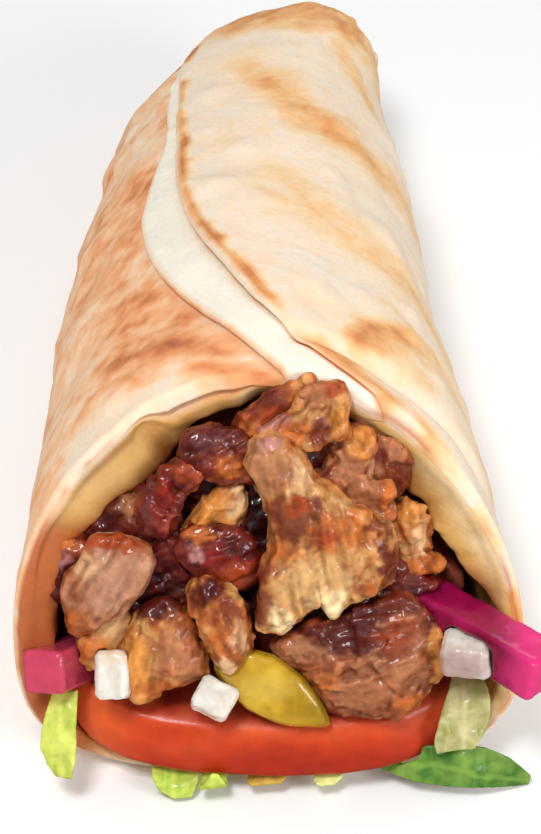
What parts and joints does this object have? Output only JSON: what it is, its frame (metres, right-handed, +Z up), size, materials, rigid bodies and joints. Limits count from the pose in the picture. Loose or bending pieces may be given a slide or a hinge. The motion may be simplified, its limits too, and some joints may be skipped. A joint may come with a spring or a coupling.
{
  "type": "doner kebab sandwich",
  "caption": "Rolled flatbread sandwich on its side with an open slanting mouth full of glazed roast meat, tomato, pickles, onion and lettuce.",
  "frame": {"origin": "centre of the flat strip the roll rests on, 95 mm behind the foot of the mouth", "axes": "+Y along the roll from the open mouth towards the closed rounded tail; +Z up; +X to the right seen from the mouth"},
  "size_m": [0.0917, 0.2145, 0.0708],
  "materials": {
    "bread": "soft baked flatbread, cream with browned patches",
    "meat": "roast chicken, glossy with juice",
    "pale_meat": "pale roast chicken with fibres, moist",
    "meat_crust": "dark red roasted crust, glazed",
    "tomato": "wet tomato skin",
    "pickle": "wet yellow-green pickle",
    "onion": "moist white onion",
    "turnip": "wet magenta pickled turnip",
    "lettuce": "crisp yellow-green lettuce",
    "green_leaf": "dark green leaf",
    "pale_lettuce": "pale lettuce rib"
  },
  "bodies": {
    "root": {"flatbread": "bread", "tomato_slice": "tomato", "pickle_slice": "pickle", "onion_middle": "onion", "onion_left": "onion", "onion_right": "onion", "turnip_right": "turnip", "turnip_left": "turnip", "meat_centre_slab": "pale_meat", "meat_lower_right": "meat", "meat_tip": "meat", "meat_lower_left": "meat", "meat_pale_slice": "pale_meat", "meat_top_fold": "pale_meat", "meat_glazed": "meat_crust", "meat_crust_top": "meat_crust", "meat_crust_strip": "meat_crust", "meat_frilled": "pale_meat", "meat_right_bit": "pale_meat", "meat_top_slab": "meat", "meat_top_right": "meat", "meat_wedge": "pale_meat", "meat_red_bit": "meat_crust", "meat_under_bit": "pale_meat", "meat_right_dark": "meat_crust", "meat_back_left": "meat", "meat_dark_middle": "meat_crust", "meat_hollow": "meat_crust", "meat_deep_middle": "meat_crust", "lettuce_left": "lettuce", "lettuce_front_left": "lettuce", "lettuce_front_small": "lettuce", "lettuce_front_middle": "pale_lettuce", "lettuce_front_olive": "pickle", "lettuce_leaf_right": "green_leaf", "lettuce_pale_right": "pale_lettuce", "meat_core": "meat_crust"}
  },
  "joints": []
}
